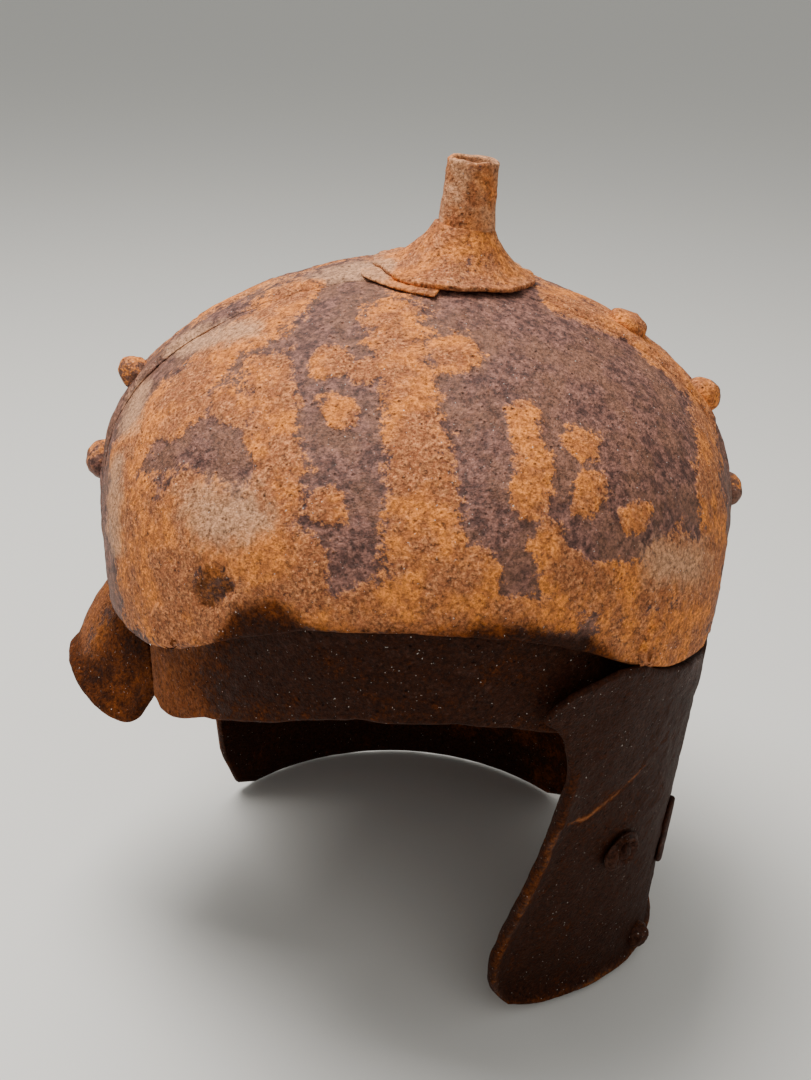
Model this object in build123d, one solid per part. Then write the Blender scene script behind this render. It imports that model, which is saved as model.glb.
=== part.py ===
from build123d import *
import math
import os

# ---------------------------------------------------------------------------
# Corroded iron helmet: two-plate bulging bowl, transverse strap with boss
# rivets, inset brow band, neck guard, plume socket and two hinged cheek plates.
# Millimetres. Front faces -Y, the wearer's left is +X, Z is up, table at Z = 0.
# ---------------------------------------------------------------------------

# Bowl: half-width of the outer surface against height, rim to crown
BOWL_PROFILE = [
    (96.5, 118.0),
    (102.3, 127.0),
    (105.4, 139.0),
    (107.0, 152.0),
    (107.5, 166.0),
    (107.0, 181.0),
    (104.4, 195.0),
    (99.4, 206.5),
    (90.5, 218.5),
    (77.5, 229.5),
    (60.5, 239.8),
    (42.0, 247.2),
    (22.0, 252.4),
    (0.0, 254.0),
]
BOWL_HALF_WIDTH = 107.5
BOWL_HALF_DEPTH = 116.0
BOWL_WALL = 2.2
BOWL_BASE_Z = 112.0
# Lower edge of the bowl over the face: half-width position against height
RIM_ARCH = [(0.0, 180.0), (30.0, 177.0), (50.0, 169.0), (65.0, 160.0), (82.0, 150.0), (96.0, 145.6)]
RIM_SIDE_Z = 145.0
RIM_REAR_Z = 145.0

# Brow band
BAND_A = 97.5
BAND_B = 112.0
BAND_WALL = 2.4
BAND_TAPER = 1.5
BAND_TUCK = 5.0
BAND_END_X = 79.0
BAND_LOWER = [(0.0, 148.5), (15.0, 148.0), (30.0, 144.5), (47.0, 138.5), (64.0, 130.5), (77.0, 121.0), (84.0, 116.0)]

# Neck guard
NECK_A = 97.0
NECK_B = 110.0
NECK_FOOT_A = 95.0
NECK_FOOT_B = 104.0
NECK_WALL = 2.4
NECK_TOP_Z = 151.0
NECK_START_Y = 52.0
NECK_FOOT_Y = 62.0

# Transverse strap and its rivets
STRAP_WIDTH = 24.0
STRAP_THICK = 1.6
STRAP_END_Z = 150.0
STRAP_RIVETS_LEFT_Z = (180.0, 213.5, 236.0)
STRAP_RIVETS_RIGHT_Z = (181.5, 213.0)
STRAP_RIVET_R = 6.5
STRAP_RIVET_H = 6.0
STRAP_RIVET_LIFT = 0.55

# Broad low discs on the lower sides of the bowl
TEMPLE_BEARING = 47.0
TEMPLE_Z = 163.0
TEMPLE_R = 8.0
TEMPLE_H = 2.6

# Plume socket
PLUME_X = 12.5
PLUME_LEAN = 3.0
PLUME_TUBE_R = 8.6
PLUME_TUBE_FOOT_R = 9.6
PLUME_BORE_R = 6.4
PLUME_TUBE_Z0 = 259.0
PLUME_TOP_Z = 290.5
PLUME_BORE_DEPTH = 26.0
PLUME_FOOT_R = 27.0
PLUME_FOOT_Z = 267.5
PLUME_FOOT_SHIFT = 2.5
TAB_R = 31.0
TAB_THICK = 1.2

# Cheek plates
CHEEK_TOP_Z = 165.0
CHEEK_TOP_A = 107.0
CHEEK_TOP_B = 121.0
CHEEK_FOOT_A = 99.8
CHEEK_FOOT_B = 71.0
CHEEK_WALL = 2.2
CHEEK_REAR_Y = 38.0
CHEEK_NOTCH_Z = 135.6
CHEEK_EDGE_Z = 138.0
RIM_WIDTH = 5.0
RIM_RAISE = 1.5
RIM_STOP_Y = -20.0
# Front edge of the long plate seen from the front: X against Z, top to foot
LEFT_FRONT_EDGE = [
    (38.0, 149.5),
    (45.0, 142.5),
    (49.0, 134.0),
    (51.0, 119.0),
    (49.5, 98.0),
    (44.0, 76.0),
    (36.0, 50.0),
    (32.5, 32.0),
    (33.5, 17.0),
    (41.0, 4.0),
    (52.0, 0.6),
]
# Short plate: outline seen from the side, Y against Z
SHORT_A = 108.0
SHORT_B = 62.0
RIGHT_OUTLINE = [
    (-37.0, 137.0),
    (-41.5, 133.0),
    (-43.8, 126.0),
    (-44.2, 118.0),
    (-43.2, 110.5),
    (-38.5, 105.5),
    (-30.0, 103.0),
    (-18.0, 102.0),
    (-6.0, 100.5),
    (7.0, 98.5),
    (18.0, 98.5),
    (27.0, 103.0),
    (31.5, 112.0),
    (32.5, 125.0),
    (31.0, 137.0),
]
SPLAY = 27.0

# Hinges: one pin each side, lying front to back under the overhang
HINGE_X = 102.5
HINGE_Z = 139.6
KNUCKLE_R = 2.4
KNUCKLE_GAP = 0.4
PIN_R = 1.2
PIN_CLEAR = 0.05
HINGE_HALF = 21.0
LEAF_HALF = 8.0
LEAF_THICK = 1.4

# Fittings on the long cheek plate
RING_X = 75.0
RING_Z = 72.0
RING_R = 6.6
RING_WIRE = 1.1
CHEEK_RIVET_R = 3.4
CHEEK_RIVET_H = 2.4
KNOB_R = 4.4
KNOB_Z = 10.0
KNOB_Y = -31.0
STRAP_END_Y = -24.0
STRAP_END_Z0 = 40.0
STRAP_END_LEN = 26.0
STRAP_END_HALF = 5.0
STRAP_END_THICK = 1.2

BIG = 400.0


def inset_profile(points, dist):
    """Shift a half-profile inwards by dist along its local normals."""
    out = []
    last = len(points) - 1
    for i, (r, z) in enumerate(points):
        r0, z0 = points[max(0, i - 1)]
        r1, z1 = points[min(last, i + 1)]
        length = math.hypot(r1 - r0, z1 - z0)
        nr = (z1 - z0) / length
        nz = -(r1 - r0) / length
        if i == last:
            nr, nz = 0.0, 1.0
        out.append((max(0.0, r - nr * dist), z - nz * dist))
    return out


def bowl_solid(inset=0.0):
    """Closed solid of the bowl, inset (or grown when negative) by a distance."""
    pts = inset_profile(BOWL_PROFILE, inset)
    with BuildPart() as bp:
        with BuildSketch(Plane.XZ):
            with BuildLine():
                Spline([(r, z) for r, z in pts])
                Line(pts[-1], (0, BOWL_BASE_Z - 6))
                Line((0, BOWL_BASE_Z - 6), (pts[0][0], BOWL_BASE_Z - 6))
                Line((pts[0][0], BOWL_BASE_Z - 6), pts[0])
            make_face()
        revolve(axis=Axis.Z)
    ratio = (BOWL_HALF_DEPTH - inset) / (BOWL_HALF_WIDTH - inset)
    return scale(bp.part.solids()[0], by=(1.0, ratio, 1.0))


def cone(a0, b0, z0, a1, b1, z1):
    """Straight-walled solid between two elliptical sections."""
    low = Plane.XY.offset(z0) * Ellipse(a0, b0)
    high = Plane.XY.offset(z1) * Ellipse(a1, b1)
    return loft([low, high], ruled=True).solids()[0]


def cone_shell(a0, b0, z0, a1, b1, z1, outside, inside):
    """Skin between two offsets of a straight-walled elliptical solid."""
    outer = cone(a0 + outside, b0 + outside, z0, a1 + outside, b1 + outside, z1)
    inner = cone(a0 - inside, b0 - inside, z0, a1 - inside, b1 - inside, z1)
    return outer - inner


def prism_side(edge, closing):
    """Prism along X over an outline (Y, Z): a spline edge closed by a polyline."""
    with BuildPart() as bp:
        with BuildSketch(Plane.YZ):
            with BuildLine():
                Spline(edge)
                Polyline(edge[-1], *closing, edge[0])
            make_face()
        extrude(amount=BIG, both=True)
    return bp.part.solids()[0]


def block(x0, x1, y0, y1, z0, z1):
    box = Box(x1 - x0, y1 - y0, z1 - z0)
    return Pos((x0 + x1) / 2, (y0 + y1) / 2, (z0 + z1) / 2) * box


def main_solid(shape):
    """Largest solid of a result."""
    return max(shape.solids(), key=lambda s: s.volume)


def mirror_x(shape):
    return shape.mirror(Plane.YZ)


def arch_points(arch):
    """Symmetric list of (X, Z) from the half list, left to right."""
    left = [(-x, z) for x, z in reversed(arch[1:])]
    return left + list(arch)


# ------------------------------------------------------------------ the bowl
bowl_outer = bowl_solid(0.0)
bowl_inner = bowl_solid(BOWL_WALL)
skin = bowl_outer - bowl_inner

arch = arch_points(RIM_ARCH)
with BuildPart() as arch_cut:
    with BuildSketch(Plane.XZ):
        with BuildLine():
            Spline(arch)
            Polyline(
                arch[-1],
                (130.0, RIM_SIDE_Z),
                (130.0, 60.0),
                (-130.0, 60.0),
                (-130.0, RIM_SIDE_Z),
                arch[0],
            )
        make_face()
    extrude(amount=BIG)
under_front = arch_cut.part.solids()[0]
under_rear = block(-BIG, BIG, 0, BIG, 0, RIM_REAR_Z)

skull_front = main_solid(skin & block(-BIG, BIG, -BIG, 0, 0, BIG))
skull_front = main_solid(skull_front - under_front)
skull_rear = main_solid(skin & block(-BIG, BIG, 0, BIG, 0, BIG))
skull_rear = main_solid(skull_rear - under_rear)

# Strap over the joint of the two bowl plates
strap_outer = bowl_solid(-STRAP_THICK)
strap_zone = block(-BIG, BIG, -STRAP_WIDTH / 2, STRAP_WIDTH / 2, STRAP_END_Z, BIG)
crown_strap = main_solid((strap_outer - bowl_outer) & strap_zone)


# ------------------------------------------------------------------ brow band
BAND_END_X = 84.0
BAND_END_Z = 149.0


def band_between(a, b, foot_a, foot_b, wall, z0, z1):
    return cone_shell(foot_a, foot_b, z0, a, b, z1, 0.0, wall)


band_skin = band_between(
    BAND_A, BAND_B, BAND_A - BAND_TAPER, BAND_B - BAND_TAPER, BAND_WALL, 110.0, 190.0
)
BAND_TOP = RIM_ARCH[:5] + [(BAND_END_X, BAND_END_Z)]
upper = [(x, z + BAND_TUCK) for x, z in arch_points(BAND_TOP)]
lower = arch_points(BAND_LOWER)
with BuildPart() as band_zone:
    with BuildSketch(Plane.XZ):
        with BuildLine():
            Spline(upper)
            Spline(lower)
            Line(upper[-1], lower[-1])
            Line(lower[0], upper[0])
        make_face()
    extrude(amount=BIG)
brow_band = main_solid(band_skin & band_zone.part.solids()[0])

# ------------------------------------------------------------------ neck guard
neck_skin = cone_shell(NECK_FOOT_A, NECK_FOOT_B, 0, NECK_A, NECK_B, NECK_TOP_Z, 0.0, NECK_WALL)
neck_zone = prism_side(
    [(NECK_START_Y, NECK_TOP_Z), (NECK_START_Y + 1, 90.0), (NECK_FOOT_Y, 22.0), (NECK_FOOT_Y + 16, 0.0)],
    [(BIG, 0.0), (BIG, NECK_TOP_Z)],
)
neck_guard = main_solid(neck_skin & neck_zone)


# ------------------------------------------------------------------ bowl studs
def surface_radius(z):
    """Half-width of the bowl at height z, straight between profile points."""
    for (r0, z0), (r1, z1) in zip(BOWL_PROFILE, BOWL_PROFILE[1:]):
        if z0 <= z <= z1:
            return r0 + (r1 - r0) * (z - z0) / (z1 - z0)
    return 0.0


def surface_slope(z):
    """Angle of the outward normal above the horizontal at height z."""
    r0 = surface_radius(z - 4)
    r1 = surface_radius(z + 4)
    return math.degrees(math.atan2(r0 - r1, 8.0))


def stud(radius, height, shank, depth):
    """Domed stud on a shank, head above the local XY plane."""
    ball_r = (radius * radius + height * height) / (2 * height)
    cap = Pos(0, 0, height - ball_r) * Sphere(ball_r)
    head = cap & (Pos(0, 0, height) * Cylinder(radius * 1.5, height * 2))
    if shank > 0:
        head = head + Pos(0, 0, -depth / 2 + 0.05) * Cylinder(shank, depth + 0.1)
    return main_solid(head)


def bowl_frame(bearing, z, lift):
    """Local frame on the bowl; bearing in degrees from +X towards -Y."""
    r = surface_radius(z)
    ang = math.radians(bearing)
    ratio = BOWL_HALF_DEPTH / BOWL_HALF_WIDTH
    nx = math.cos(ang)
    ny = -math.sin(ang)
    tilt = math.radians(surface_slope(z))
    norm = Vector(nx * math.cos(tilt), ny * math.cos(tilt) / ratio, math.sin(tilt)).normalized()
    spot = Vector(r * nx, r * ratio * ny, z) + norm * lift
    return Plane(origin=spot, z_dir=norm)




def strap_rivets(heights):
    heads = []
    for z in heights:
        place = bowl_frame(0.0, z, STRAP_THICK + STRAP_RIVET_LIFT)
        heads.append(place * stud(STRAP_RIVET_R, STRAP_RIVET_H, 0.0, 0.0))
    return heads


temple_left = bowl_frame(TEMPLE_BEARING, TEMPLE_Z, 0.35) * stud(TEMPLE_R, TEMPLE_H, 0.0, 0.0)

# ------------------------------------------------------------------ plume socket
lean = Pos(PLUME_X, 0, 255.0) * Rot(0, PLUME_LEAN, 0) * Pos(-PLUME_X, 0, -255.0)
axis_spot = Pos(PLUME_X, 0, 0)
tube = axis_spot * Pos(0, 0, PLUME_TUBE_Z0) * Cone(
    PLUME_TUBE_FOOT_R, PLUME_TUBE_R, PLUME_TOP_Z - PLUME_TUBE_Z0,
    align=(Align.CENTER, Align.CENTER, Align.MIN),
)
bore = axis_spot * Pos(0, 0, PLUME_TOP_Z - PLUME_BORE_DEPTH) * Cylinder(
    PLUME_BORE_R, PLUME_BORE_DEPTH + 5, align=(Align.CENTER, Align.CENTER, Align.MIN)
)
plume_tube = main_solid(lean * (tube - bore))

with BuildPart() as bell:
    with BuildSketch(Plane.XZ):
        with BuildLine():
            Spline([(PLUME_TUBE_FOOT_R + 0.8, PLUME_FOOT_Z), (13.0, 260.5), (19.0, 256.0), (PLUME_FOOT_R, 253.2)])
            Polyline(
                (PLUME_FOOT_R, 253.2),
                (PLUME_FOOT_R, 234.0),
                (0.0, 234.0),
                (0.0, PLUME_FOOT_Z),
                (PLUME_TUBE_FOOT_R + 0.8, PLUME_FOOT_Z),
            )
        make_face()
    revolve(axis=Axis.Z)
foot_body = Pos(PLUME_X - PLUME_FOOT_SHIFT, 0, 0) * bell.part.solids()[0]
seat = axis_spot * Pos(0, 0, PLUME_TUBE_Z0) * Cylinder(
    PLUME_TUBE_FOOT_R + 0.02, 40.0, align=(Align.CENTER, Align.CENTER, Align.MIN)
)
foot_body = (lean * foot_body) - (lean * seat)
bowl_raised = bowl_solid(-STRAP_THICK - TAB_THICK - 0.3)
plume_base = main_solid(foot_body - bowl_raised)

tab_zone = axis_spot * Cylinder(TAB_R, BIG * 2) & block(-BIG, BIG, -BIG, -STRAP_WIDTH / 2 - 0.6, 0, BIG)
tab_zone = tab_zone & block(PLUME_X - TAB_R, PLUME_X - 4, -BIG, BIG, 0, BIG)
plume_base_tab = main_solid((bowl_solid(-STRAP_THICK - TAB_THICK) - bowl_outer) & tab_zone)

# ------------------------------------------------------------------ cheek plates
cheek_args = (CHEEK_FOOT_A, CHEEK_FOOT_B, 0.0, CHEEK_TOP_A, CHEEK_TOP_B, CHEEK_TOP_Z)
cheek_skin = cone_shell(*cheek_args, 0.0, CHEEK_WALL)


def left_zone(grow):
    """Front-view outline of the long plate, pulled in by grow along its free edge."""
    edge = []
    for i, (x, z) in enumerate(LEFT_FRONT_EDGE):
        x0, z0 = LEFT_FRONT_EDGE[max(0, i - 1)]
        x1, z1 = LEFT_FRONT_EDGE[min(len(LEFT_FRONT_EDGE) - 1, i + 1)]
        length = math.hypot(x1 - x0, z1 - z0)
        edge.append((x - (z1 - z0) / length * grow, z + (x1 - x0) / length * grow))
    foot_z = edge[-1][1]
    closing = [(100.0, foot_z), (130.0, foot_z)]
    if grow > 0:
        closing += [(130.0, 200.0), (edge[0][0], 200.0)]
    else:
        closing += [(130.0, CHEEK_EDGE_Z), (98.0, CHEEK_EDGE_Z), (90.0, 143.0), (82.0, 147.5)]
        closing += [(65.0, 157.5), (56.0, 160.0), (47.0, 155.0)]
    with BuildPart() as bp:
        with BuildSketch(Plane.XZ):
            with BuildLine():
                Spline(edge)
                Polyline(edge[-1], *closing, edge[0])
            make_face()
        extrude(amount=BIG, both=True)
    return bp.part.solids()[0]


rear_trim = block(0, BIG, -BIG, CHEEK_REAR_Y, -1, BIG)
notch = block(90, BIG, -HINGE_HALF - 1.5, HINGE_HALF + 1.5, CHEEK_NOTCH_Z, BIG)
left_cheek_plate = main_solid((cheek_skin & left_zone(0.0) & rear_trim) - notch)

rim_skin = cone_shell(*cheek_args, RIM_RAISE, 0.0)
rim_keep = block(0, BIG, -BIG, RIM_STOP_Y, -1, 140.0)
left_cheek_rim = main_solid((rim_skin & left_zone(0.0) & rim_keep) - left_zone(RIM_WIDTH))

# Short plate on the wearer's right, built closed and then swung out
short_skin = cone_shell(SHORT_A - 2.0, SHORT_B, 0.0, SHORT_A, SHORT_B, CHEEK_TOP_Z, 0.0, CHEEK_WALL)
short_rim_skin = cone_shell(SHORT_A - 2.0, SHORT_B, 0.0, SHORT_A, SHORT_B, CHEEK_TOP_Z, RIM_RAISE, 0.0)
short_zone = prism_side(RIGHT_OUTLINE, [])


def shrink(points, dist):
    """Pull an open side outline inwards by dist."""
    out = []
    last = len(points) - 1
    for i, (y, z) in enumerate(points):
        y0, z0 = points[max(0, i - 1)]
        y1, z1 = points[min(last, i + 1)]
        length = math.hypot(y1 - y0, z1 - z0)
        out.append((y - (z1 - z0) / length * dist, z + (y1 - y0) / length * dist))
    return out


inner_edge = shrink(RIGHT_OUTLINE, RIM_WIDTH * 0.8)
inner_zone = prism_side(inner_edge, [(inner_edge[-1][0], 150.0), (inner_edge[0][0], 150.0)])
half_x = block(0, BIG, -BIG, BIG, 0, BIG)
short_plate = main_solid((short_skin & short_zone & half_x) - notch)
short_rim = main_solid(((short_rim_skin & short_zone & half_x) - inner_zone) - notch)


# ------------------------------------------------------------------ hinges
def rod_y(radius, x, z, y0, y1):
    return Pos(x, (y0 + y1) / 2, z) * Rot(90, 0, 0) * Cylinder(radius, y1 - y0)


hole = rod_y(PIN_R + PIN_CLEAR, HINGE_X, HINGE_Z, -HINGE_HALF - 5, HINGE_HALF + 5)
pin_hole = rod_y(PIN_R, HINGE_X, HINGE_Z, -HINGE_HALF - 5, HINGE_HALF + 5)

# Leaf on the plate: centre knuckle, short web and a pad on the plate's inner face
knuckle_mid = rod_y(KNUCKLE_R, HINGE_X, HINGE_Z, -LEAF_HALF, LEAF_HALF)


def leaf_for(args):
    pad = cone_shell(*args, -CHEEK_WALL, CHEEK_WALL + LEAF_THICK)
    pad = pad & block(90, BIG, -14.0, 14.0, 116.0, 133.5)
    neck = block(HINGE_X - 3.2, HINGE_X + 4.0, -LEAF_HALF, LEAF_HALF, 128.0, HINGE_Z - 1.5)
    keep = cone(
        args[0] - CHEEK_WALL, args[1] - CHEEK_WALL, args[2],
        args[3] - CHEEK_WALL, args[4] - CHEEK_WALL, args[5],
    )
    return main_solid((pad + (neck & keep) + knuckle_mid) - hole)


short_args = (SHORT_A - 2.0, SHORT_B, 0.0, SHORT_A, SHORT_B, CHEEK_TOP_Z)
leaf_left = leaf_for(cheek_args)
leaf_right = leaf_for(short_args)

# Bracket on the bowl: two outer knuckles, webs and a pad inside the bowl wall
pad_skin = bowl_inner - bowl_solid(BOWL_WALL + LEAF_THICK)
bracket = pad_skin & block(90, BIG, -HINGE_HALF, HINGE_HALF, 146.0, 163.0)
inside_bowl = bowl_inner
for side in (-1, 1):
    y0 = side * (LEAF_HALF + KNUCKLE_GAP)
    y1 = side * HINGE_HALF
    lo = min(y0, y1)
    hi = max(y0, y1)
    web = block(HINGE_X - 3.2, HINGE_X - 0.2, lo, hi, HINGE_Z, 151.0) & inside_bowl
    bracket = bracket + web + rod_y(KNUCKLE_R, HINGE_X, HINGE_Z, lo, hi)
bracket_left = main_solid(bracket - pin_hole)

pin_left = rod_y(PIN_R, HINGE_X, HINGE_Z, -HINGE_HALF - 1.0, HINGE_HALF + 1.0)
pin_left = main_solid(pin_left)


# ------------------------------------------------------------------ cheek fittings
def cheek_frame(x, z, lift, y=None):
    """Frame on the outer face of the long plate, found from X or from Y."""
    f = z / CHEEK_TOP_Z
    a = CHEEK_FOOT_A + (CHEEK_TOP_A - CHEEK_FOOT_A) * f
    b = CHEEK_FOOT_B + (CHEEK_TOP_B - CHEEK_FOOT_B) * f
    if y is None:
        ang = math.acos(x / a)
    else:
        ang = math.asin(-y / b)
    nx = math.cos(ang) / a
    ny = -math.sin(ang) / b
    da = (CHEEK_TOP_A - CHEEK_FOOT_A) / CHEEK_TOP_Z
    db = (CHEEK_TOP_B - CHEEK_FOOT_B) / CHEEK_TOP_Z
    nz = -(math.cos(ang) * math.cos(ang) * da / a + math.sin(ang) * math.sin(ang) * db / b)
    norm = Vector(nx, ny, nz).normalized()
    spot = Vector(a * math.cos(ang), -b * math.sin(ang), z) + norm * lift
    along = Vector(-math.sin(ang) * a, -math.cos(ang) * b, 0).normalized()
    return Plane(origin=spot, x_dir=along, z_dir=norm)


ring_place = cheek_frame(RING_X, RING_Z, RING_WIRE + 0.3)
left_cheek_ring = main_solid(ring_place * Torus(RING_R, RING_WIRE))
rivet_place = cheek_frame(RING_X, RING_Z, 0.15)
left_cheek_rivet = main_solid(rivet_place * stud(CHEEK_RIVET_R, CHEEK_RIVET_H, 0.0, 0.0))
knob_place = cheek_frame(0, KNOB_Z, 0.25, y=KNOB_Y)
left_corner_knob = main_solid(knob_place * stud(KNOB_R, KNOB_R * 0.95, 0.0, 0.0))

tongue_skin = cone_shell(*cheek_args, STRAP_END_THICK, 0.0)
with BuildPart() as tongue:
    with BuildSketch(Plane.YZ):
        with Locations((STRAP_END_Y, STRAP_END_Z0 + STRAP_END_LEN / 2)):
            SlotOverall(STRAP_END_LEN, STRAP_END_HALF * 2, rotation=90)
    extrude(amount=BIG)
left_strap_end = main_solid(tongue_skin & tongue.part.solids()[0])

# ------------------------------------------------------------------ assemble
swing = Pos(-HINGE_X, 0, HINGE_Z) * Rot(0, SPLAY, 0) * Pos(HINGE_X, 0, -HINGE_Z)

nodes = {
    "skull_front_plate": [skull_front],
    "skull_rear_plate": [skull_rear],
    "crown_strap": [crown_strap],
    "strap_rivets_left": strap_rivets(STRAP_RIVETS_LEFT_Z),
    "strap_rivets_right": [mirror_x(s) for s in strap_rivets(STRAP_RIVETS_RIGHT_Z)],
    "temple_bosses": [temple_left, mirror_x(temple_left)],
    "brow_band": [brow_band],
    "neck_guard": [neck_guard],
    "plume_base": [plume_base],
    "plume_base_tab": [plume_base_tab],
    "plume_tube": [plume_tube],
    "left_cheek_plate": [left_cheek_plate],
    "left_cheek_rim": [left_cheek_rim],
    "left_cheek_ring": [left_cheek_ring],
    "left_cheek_rivet": [left_cheek_rivet],
    "left_corner_knob": [left_corner_knob],
    "left_strap_end": [left_strap_end],
    "right_cheek_plate": [swing * mirror_x(short_plate)],
    "right_cheek_rim": [swing * mirror_x(short_rim)],
    "hinge_bracket_left": [bracket_left],
    "hinge_bracket_right": [mirror_x(bracket_left)],
    "hinge_leaf_left": [leaf_left],
    "hinge_leaf_right": [swing * mirror_x(leaf_right)],
    "hinge_pin_left": [pin_left],
    "hinge_pin_right": [mirror_x(pin_left)],
}

everything = Compound([s for group in nodes.values() for s in group])
bb = everything.bounding_box()
shift = Pos(-(bb.min.X + bb.max.X) / 2, -(bb.min.Y + bb.max.Y) / 2, -bb.min.Z)
print("shift", shift.position, "size", bb.size)

os.makedirs("parts", exist_ok=True)
for name, solids in nodes.items():
    placed = [shift * s for s in solids]
    shape = placed[0] if len(placed) == 1 else Compound(placed)
    export_step(shape, f"parts/{name}.step")
    print(name, len(solids), round(sum(s.volume for s in placed) / 1000.0, 2), "cm3")
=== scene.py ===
"""Corroded iron helmet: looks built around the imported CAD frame.

Shapes are worked out in millimetres in the helmet's own axes (front -Y, wearer's left +X, table at
Z = 0, origin under the crown) and moved into the row frame by put().
"""

import math

import bpy
import numpy as np
from mathutils import Matrix, Vector


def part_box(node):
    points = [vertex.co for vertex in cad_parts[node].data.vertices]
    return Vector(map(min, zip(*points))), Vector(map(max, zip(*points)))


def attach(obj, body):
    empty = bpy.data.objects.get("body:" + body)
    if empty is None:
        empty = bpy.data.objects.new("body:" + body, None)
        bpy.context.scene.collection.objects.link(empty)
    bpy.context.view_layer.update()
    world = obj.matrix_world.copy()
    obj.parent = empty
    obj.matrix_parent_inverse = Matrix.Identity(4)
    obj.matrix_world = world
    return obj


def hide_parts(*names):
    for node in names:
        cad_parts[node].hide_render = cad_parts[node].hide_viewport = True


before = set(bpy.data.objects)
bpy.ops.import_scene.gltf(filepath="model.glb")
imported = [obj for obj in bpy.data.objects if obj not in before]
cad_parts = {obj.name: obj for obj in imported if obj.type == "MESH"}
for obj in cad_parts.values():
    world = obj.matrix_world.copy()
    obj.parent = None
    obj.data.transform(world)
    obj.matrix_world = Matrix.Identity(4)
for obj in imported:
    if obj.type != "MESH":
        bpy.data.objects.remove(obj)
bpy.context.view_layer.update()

# --------------------------------------------------------------------------- the helmet's axes
# The two hinge pins stand level with the origin, at equal distances on its left and right
MM = 0.001
left_low, left_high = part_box("hinge_pin_left")
right_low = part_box("hinge_pin_right")[0]
ORIGIN = np.array([(left_high[0] + right_low[0]) / 2, (left_low[1] + left_high[1]) / 2, 0.0])
HINGE_X = (left_low[0] + left_high[0]) / 2 / MM - ORIGIN[0] / MM
HINGE_Z = (left_low[2] + left_high[2]) / 2 / MM
HEAD = np.array([0.0, 0.0, 120.0])  # a point inside the helmet


def put(points):
    """Helmet millimetres to row-frame metres."""
    return points * MM + ORIGIN


# --------------------------------------------------------------------------- noise
HASH = (73856093, 19349663, 83492791, 49979687)  # one large prime for each of x, y, z and the seed
HASH_A, HASH_B, HASH_C = 15731, 789221, 1376312589
HASH_MAX = 0x7FFFFFFF


def smooth(lo, hi, v):
    """Eased step: 0 at lo, 1 at hi."""
    t = np.clip((v - lo) / (hi - lo), 0, 1)
    return t * t * (3 - 2 * t)


def lattice(ix, iy, iz, seed):
    """Hash of integer lattice points, 0 to 1."""
    n = (ix * HASH[0]) ^ (iy * HASH[1]) ^ (iz * HASH[2]) ^ (seed * HASH[3])
    n = (n ^ (n >> 13)) & HASH_MAX
    n = (n * (n * n * HASH_A + HASH_B) + HASH_C) & HASH_MAX
    return n / float(HASH_MAX)


def noise(p, size, seed):
    """Smooth value noise, -1 to 1, with features of the given size in mm."""
    q = p / size
    cell = np.floor(q).astype(np.int64)
    f = q - cell
    f = f * f * f * (f * (f * 6 - 15) + 10)
    total = np.zeros(p.shape[:-1])
    for dx in (0, 1):
        wx = f[..., 0] if dx else 1 - f[..., 0]
        for dy in (0, 1):
            wy = f[..., 1] if dy else 1 - f[..., 1]
            for dz in (0, 1):
                wz = f[..., 2] if dz else 1 - f[..., 2]
                corner = lattice(cell[..., 0] + dx, cell[..., 1] + dy, cell[..., 2] + dz, seed)
                total += wx * wy * wz * corner
    return total * 2 - 1


def fbm(p, size, seed, octaves=4, gain=0.5):
    """Layered noise, about -1 to 1."""
    total = np.zeros(p.shape[:-1])
    amp, norm = 1.0, 0.0
    for k in range(octaves):
        total += amp * noise(p, size / 2 ** k, seed + 17 * k)
        norm += amp
        amp *= gain
    return total / norm


def pits(p, size, seed):
    """1 at the middle of scattered round pits, 0 away from them."""
    q = p / size
    cell = np.floor(q).astype(np.int64)
    nearest = np.full(p.shape[:-1], 9.0)
    for dx in (-1, 0, 1):
        for dy in (-1, 0, 1):
            for dz in (-1, 0, 1):
                c = [cell[..., 0] + dx, cell[..., 1] + dy, cell[..., 2] + dz]
                d = sum(
                    (c[k] + lattice(c[0], c[1], c[2], seed + k) - q[..., k]) ** 2 for k in range(3)
                )
                nearest = np.minimum(nearest, d)
    return smooth(0.55, 0.0, np.sqrt(nearest))


def on_line(x):
    """Points at x along one axis, where noise is read for the outline of an edge."""
    return np.stack([x, 0 * x, 0 * x], -1)


# --------------------------------------------------------------------------- the bowl's form
# Half-width and height of the bowl's section, from its foot to its crown
BOWL = np.array([
    (96.5, 118.0), (102.3, 127.0), (105.4, 139.0), (107.0, 152.0), (107.5, 166.0), (107.0, 181.0),
    (104.4, 195.0), (99.4, 206.5), (90.5, 218.5), (77.5, 229.5), (60.5, 239.8), (42.0, 247.2),
    (22.0, 252.4), (0.0, 254.0),
])
DEPTH_RATIO = 116.0 / 107.5  # the bowl is a little deeper than wide
# Height of the front rim by distance from the middle; the rear rim is level
ARCH = np.array([(0, 180), (30, 177), (50, 169), (65, 160), (82, 150), (96, 145.6), (130, 145)], float)
RIM_Z = 145.0


def curve_through(points, count, steps=40):
    """Even samples of a smooth curve through points (Catmull-Rom)."""
    pts = np.vstack([2 * points[0] - points[1], points, 2 * points[-1] - points[-2]])
    out = []
    for i in range(1, len(pts) - 2):
        t = np.linspace(0, 1, steps, endpoint=False)[:, None]
        a, b, c, d = pts[i - 1], pts[i], pts[i + 1], pts[i + 2]
        out.append(0.5 * (2 * b + (c - a) * t + (2 * a - 5 * b + 4 * c - d) * t ** 2
                          + (3 * b - a - 3 * c + d) * t ** 3))
    out.append(points[-1:])
    line = np.vstack(out)
    s = np.concatenate([[0], np.cumsum(np.linalg.norm(np.diff(line, axis=0), axis=1))])
    at = np.linspace(0, s[-1], count)
    return np.stack([np.interp(at, s, line[:, k]) for k in range(points.shape[1])], 1)


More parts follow.
